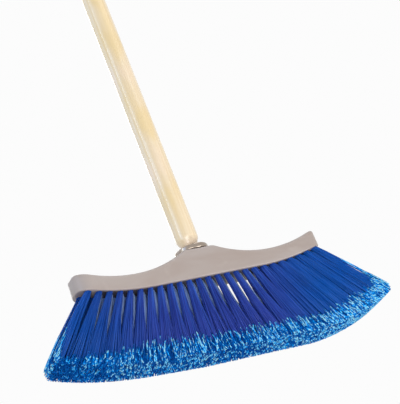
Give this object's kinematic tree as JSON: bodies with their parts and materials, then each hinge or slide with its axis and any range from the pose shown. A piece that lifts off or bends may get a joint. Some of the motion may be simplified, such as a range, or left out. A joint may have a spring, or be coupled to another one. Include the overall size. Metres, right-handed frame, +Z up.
{
  "type": "bow broom",
  "caption": "Upright bow broom with a round wooden screw-in handle and a curved moulded block whose tufts of flagged bristles fan out wide for sweeping floors.",
  "frame": {"origin": "under the middle of the block, on the surface that the bristle tips stand on", "axes": "+Z up along the handle, +X along the block to the right, +Y to the back; the pictured side faces -Y"},
  "size_m": [0.394, 0.0447, 1.3184],
  "materials": {
    "block_plastic": "satin moulded taupe",
    "tip_metal": "plated die casting",
    "handle_wood": "clear lacquered pale hardwood",
    "bristle_blue": "extruded filament with flagged tips",
    "anchor_wire": "drawn flat wire"
  },
  "bodies": {
    "head": {"broom_block": "block_plastic", "tuft_column_01": "bristle_blue", "tuft_column_02": "bristle_blue", "tuft_column_03": "bristle_blue", "tuft_column_04": "bristle_blue", "tuft_column_05": "bristle_blue", "tuft_column_06": "bristle_blue", "tuft_column_07": "bristle_blue", "tuft_column_08": "bristle_blue", "tuft_column_09": "bristle_blue", "tuft_column_10": "bristle_blue", "tuft_column_11": "bristle_blue", "tuft_column_12": "bristle_blue", "tuft_column_13": "bristle_blue", "tuft_column_14": "bristle_blue", "tuft_column_15": "bristle_blue", "tuft_column_16": "bristle_blue", "tuft_column_17": "bristle_blue", "tuft_column_18": "bristle_blue", "tuft_column_19": "bristle_blue", "tuft_column_20": "bristle_blue", "tuft_column_21": "bristle_blue", "tuft_column_22": "bristle_blue", "tuft_column_23": "bristle_blue", "tuft_column_24": "bristle_blue", "tuft_column_25": "bristle_blue", "front_row_anchors": "anchor_wire", "second_row_anchors": "anchor_wire", "third_row_anchors": "anchor_wire", "back_row_anchors": "anchor_wire"},
    "tip": {"threaded_tip": "tip_metal"},
    "handle": {"wood_handle": "handle_wood"}
  },
  "joints": [
    {"name": "handle_rise", "type": "slide", "parent": "head", "child": "tip", "axis": [0, 0, 1], "range_m": [0, 0.0178]},
    {"name": "handle_turn", "type": "hinge", "parent": "tip", "child": "handle", "pos_m": [0, 0, 0.1184], "axis": [0, 0, 1], "range_deg": [0, 1260]}
  ],
  "couplings": [
    {"joint": "handle_rise", "follows": "handle_turn", "m_per_rad": 0.00080851}
  ]
}
